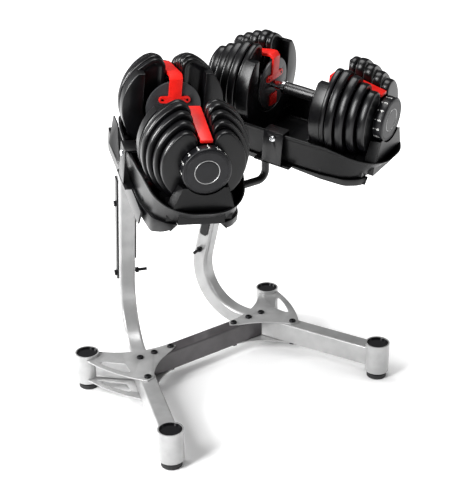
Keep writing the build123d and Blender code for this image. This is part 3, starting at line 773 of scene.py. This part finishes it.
# %% Saddles under the dials
SADDLE_CLEARANCE, SADDLE_TOP, SADDLE_FOOT = 2.0, -36.0, -79.0
SADDLE_SIDE = ((44.0, SADDLE_TOP), (58.0, SADDLE_FOOT + 5), (59.0, SADDLE_FOOT + 1),
               (55.0, SADDLE_FOOT))
SADDLE_FRONT = ((0.0, 3.5), (1.0, 1.2), (3.0, 0.0))
SADDLE_FLARE = 0.16
PLINTH_HALF, PLINTH_SETBACK = 48.0, 8.0


def saddle_block(radius, start, end):
    """The block under a dial, hollowed for the dial, which widens towards the plates."""
    left, right = [(-x, z) for x, z in SADDLE_SIDE], list(reversed(SADDLE_SIDE))
    section = list(reversed(left + right + hollow_arc(radius, SADDLE_TOP)))
    front = [(inset, end - along) for inset, along in SADDLE_FRONT]
    points, faces = stacked(section, [(0.0, start)] + front)
    flared = [(x * (1 + SADDLE_FLARE * (end - y) / (end - start)), y, z) for x, y, z in points]
    return flared, faces


def plinth(start, end):
    """The part of a saddle below its foot, set back from it."""
    section = [(-PLINTH_HALF, BLOCK_FOOT), (PLINTH_HALF, BLOCK_FOOT),
               (PLINTH_HALF, SADDLE_FOOT), (-PLINTH_HALF, SADDLE_FOOT)]
    return stacked(section, [(0.0, start), (0.0, end - PLINTH_SETBACK)])


def make_tray(side):
    """One tray: its wall, five cradles at each end, and a saddle on its plinth under each dial."""
    parts = [(dumbbell_frame(side), *tray_rings(WALL_PROFILE))]
    for end in ENDS:
        matrix = dumbbell_frame(side, end)
        parts += [(matrix, *make_cradle(side, end, number)) for number in range(1, 6)]
        start, stop, radius = spans(f"{side}_{end}_dial", side, end)
        start, stop = start + 1, stop + 2
        parts.append((matrix, *saddle_block(radius + SADDLE_CLEARANCE, start, stop)))
        parts.append((matrix, *plinth(start, stop)))
    node = f"{side}_tray"
    return make_piece(f"{side}_moulded_tray", parts, tray_nylon, body_of[node], (node,))


for side in SIDES:
    print("made", make_tray(side).name)

# %% [markdown]
# ## Broken edges
#
# Bent sheet steel and moulded brackets never have knife edges: a small round catches the light along
# every edge. These pieces keep the engineering model's shape. A copy of each is cleaned of the flat
# triangles' inner edges, and then its sharp edges are bevelled by about a millimetre. The pans are
# also trimmed: the front skirt is shallower in the middle and deeper at the outer corner, its opening
# has slanted ends, and the side flanges are bent in a little.

# %% Trimmed pans
SKIRT_WIDTH, SKIRT_START, SKIRT_TOP, SKIRT_ROOT = 102.5, 44.0, -130.0, -129.0
OPENING_HALF, OPENING_SPREAD = 50.0, 1.3
SKIRT_DEPTH, CORNER_DEPTH, CORNER_START, CORNER_RUN = 0.62, 1.2, 60.0, 40.0
FLANGE_WIDTH, FLANGE_FOOT, FLANGE_BEND = 110.0, -128.0, 0.96


def trimmed_pan(side):
    """A function that moves a point of one pan to its trimmed place."""
    matrix = dumbbell_frame(side)
    to_local = matrix.inverted()

    def move(place):
        point = to_local @ place
        outer = math.copysign(point.x, matrix.translation.x * point.x)
        if abs(point.x) < SKIRT_WIDTH and point.y > SKIRT_START and point.z < SKIRT_TOP:
            if abs(point.x) < OPENING_HALF:
                point.x *= OPENING_SPREAD
            corner = min(max((outer - CORNER_START) / CORNER_RUN, 0.0), 1.0)
            depth = SKIRT_DEPTH + CORNER_DEPTH * corner
            point.z = SKIRT_ROOT + (point.z - SKIRT_ROOT) * depth
        elif abs(point.x) > FLANGE_WIDTH and point.z > FLANGE_FOOT:
            point.x *= FLANGE_BEND
        return matrix @ point

    return move


print("the middle of each skirt keeps", SKIRT_DEPTH, "of its depth")

# %% Broken edges
EDGE_WIDTHS = {"bridges": 0.9, "hubs": 1.2, "clamp": 0.9, "upper_gusset": 0.7, "lower_gusset": 0.7}
PAN_EDGE_WIDTH = 0.7
FLAT_ANGLE, BEVEL_ANGLE, CREASE_ANGLE = math.radians(1), math.radians(35), math.radians(50)


def softened(node, width_mm, move=None):
    """A copy of an engineering piece with bevelled edges, standing for it."""
    mesh = bmesh.new()
    mesh.from_mesh(nodes[node].data)
    bmesh.ops.remove_doubles(mesh, verts=mesh.verts, dist=0.001 * MM)
    bmesh.ops.dissolve_limit(mesh, angle_limit=FLAT_ANGLE, verts=mesh.verts, edges=mesh.edges)
    if move:
        for vertex in mesh.verts:
            vertex.co = move(vertex.co)
    sharp = [edge for edge in mesh.edges
             if edge.is_manifold and edge.calc_face_angle() > BEVEL_ANGLE]
    bmesh.ops.bevel(mesh, geom=sharp, offset=width_mm * MM, segments=2, profile=0.5,
                    affect="EDGES", clamp_overlap=True)
    shade_smooth(mesh, CREASE_ANGLE)
    slot = slot_of[node]
    placed(f"{node}_finished", mesh, FINISHES[slot], body_of[node], (node,), slot)


for side in SIDES:
    for part, width in EDGE_WIDTHS.items():
        softened(f"{side}_{part}", width)
    softened(f"{side}_tray_pan", PAN_EDGE_WIDTH, trimmed_pan(side))
print("softened", len(SIDES) * (len(EDGE_WIDTHS) + 1), "pieces")

# %% [markdown]
# ## Floor
#
# A pale painted floor fills the view. It glows a little, so that it stays bright far from the lights:
# less under the stand, where it would light the tubes from below, and less far in front, where it
# would show as grey in the black plates. The glow also dims close to whatever stands on the floor:
# this is a painted contact shadow, the soft dark edge drawn under each foot.

# %% Floor
FLOOR_SIZE = 24.0
NEAR_EDGE, FAR_EDGE, NEAR_GLOW, FAR_GLOW = 0.3, 1.1, 0.25, 0.95
FRONT = (-0.6, -0.8, 0.0)
FRONT_EDGE_M, FRONT_END_M, FRONT_GLOW = 0.75, 1.5, 0.2
# How far the painted contact shadow reaches, in metres, and how dark it is, as a gamma.
PAINTED_SHADOW_REACH, PAINTED_SHADOW_DEPTH = 0.16, 2.2
SMOOTH = {"interpolation_type": "SMOOTHSTEP"}

bpy.ops.mesh.primitive_plane_add(size=FLOOR_SIZE)
floor = bpy.context.object
floor.name = "floor"
floor_paint_glow_and_shadow = new_finish("white_floor_with_glow_and_painted_shadow", "#F4F4F4", 0.7, Specular_IOR_Level=0.2)
mottle(floor_paint_glow_and_shadow, ("#F2F2F2", "#F6F6F6"), 400)
tree = floor_paint_glow_and_shadow.node_tree
floor_place = add_node(tree, "ShaderNodeTexCoord")
distance = add_node(tree, "ShaderNodeVectorMath", {"operation": "LENGTH"}, {
    0: floor_place.outputs["Object"]})
glow = add_node(tree, "ShaderNodeMapRange", SMOOTH, {
    "Value": distance.outputs["Value"], "From Min": NEAR_EDGE, "From Max": FAR_EDGE,
    "To Min": NEAR_GLOW, "To Max": FAR_GLOW})
ahead = add_node(tree, "ShaderNodeVectorMath", {"operation": "DOT_PRODUCT"}, {
    0: floor_place.outputs["Object"], 1: FRONT})
fading = add_node(tree, "ShaderNodeMapRange", SMOOTH, {
    "Value": ahead.outputs["Value"], "From Min": FRONT_EDGE_M, "From Max": FRONT_END_M,
    "To Min": 1.0, "To Max": FRONT_GLOW})
strength = add_node(tree, "ShaderNodeMath", {"operation": "MULTIPLY"}, {
    0: glow.outputs["Result"], 1: fading.outputs["Result"]})
# Painted contact shadow: the floor's glow is darkened wherever something stands close above it.
near = add_node(tree, "ShaderNodeAmbientOcclusion", {"samples": 16}, {"Distance": PAINTED_SHADOW_REACH})
painted_contact_shadow = add_node(tree, "ShaderNodeGamma", sockets={
    "Color": near.outputs["Color"], "Gamma": PAINTED_SHADOW_DEPTH})
paint = tree.nodes["Principled BSDF"]
tree.links.new(painted_contact_shadow.outputs["Color"], paint.inputs["Emission Color"])
tree.links.new(strength.outputs["Value"], paint.inputs["Emission Strength"])
floor.data.materials.append(floor_paint_glow_and_shadow)
print("the floor glows from", NEAR_GLOW, "by the stand to", FAR_GLOW, "away from it")

# %% [markdown]
# ## Lights
#
# Soft boxes are large rectangles of light, and black plastic shows them as soft highlights. A tall one
# on the left draws the long highlights down the plates and tubes, one behind on the left lights the
# plates' upper rims, a broad one above fills the tops, and a weak one on the right opens the shadows.
# A dim white room fills in the rest. The Standard view keeps white and red as bright as they are.

# %% Lights
# Each soft box: its place from the object's middle in metres, its width and height, and its watts.
SOFT_BOXES = {
    "left_softbox": ((-2.5, -0.35, 1.45), (0.7, 2.0), 118),
    "rear_softbox": ((-1.8, 2.2, 1.15), (0.6, 1.1), 85),
    "top_softbox": ((0.0, 0.3, 2.6), (1.4, 1.4), 48),
    "right_softbox": ((2.1, -1.6, 0.9), (0.5, 1.6), 16),
}
ROOM_LIGHT = 0.17
middle = (Vector(cad_box[0]) + Vector(cad_box[1])) / 2


def soft_light(name, place, size, power):
    """A rectangular soft light aimed at the object."""
    light = bpy.data.lights.new(name, "AREA")
    light.shape, light.energy = "RECTANGLE", power
    light.size, light.size_y = size
    holder = bpy.data.objects.new(name, light)
    holder.location = middle + Vector(place)
    holder.rotation_euler = (middle - holder.location).to_track_quat("-Z", "Y").to_euler()
    bpy.context.scene.collection.objects.link(holder)


for name, (place, size, power) in SOFT_BOXES.items():
    soft_light(name, place, size, power)
world = bpy.data.worlds.new("pale_room")
world.use_nodes = True
room = world.node_tree.nodes["Background"]
room.inputs["Color"].default_value = linear("#FFFFFF")
room.inputs["Strength"].default_value = ROOM_LIGHT
bpy.context.scene.world = world
bpy.context.scene.view_settings.view_transform = "Standard"
print("lit by", len(SOFT_BOXES), "soft boxes")

# %% [markdown]
# ## Camera
#
# The camera looks down at the stand from in front and to its left, through a long lens, which keeps
# the near foot from looking much larger than the far one. Its direction is given as two angles, and
# its place is then a distance back from the point it aims at.

# %% Camera
AZIMUTH = math.radians(36.85)
PITCH = math.radians(25.36)
ROLL = math.radians(-0.63)
DISTANCE = 2.7836
AIM = Vector((0.0003, -0.0297, 0.3691))
SENSOR_MM, LENS_MM = 36.0, 86.91
level = math.cos(PITCH)
forward = Vector((math.sin(AZIMUTH) * level, math.cos(AZIMUTH) * level, -math.sin(PITCH)))
camera = bpy.data.objects.new("camera", bpy.data.cameras.new("camera"))
camera.data.sensor_width = SENSOR_MM
camera.data.lens = LENS_MM
camera.location = AIM - forward * DISTANCE
turned = forward.to_track_quat("-Z", "Y").to_matrix() @ Matrix.Rotation(ROLL, 3, "Z")
camera.rotation_euler = turned.to_euler()
bpy.context.scene.collection.objects.link(camera)
bpy.context.scene.camera = camera
print("camera is", round(DISTANCE, 2), "m from its aim")
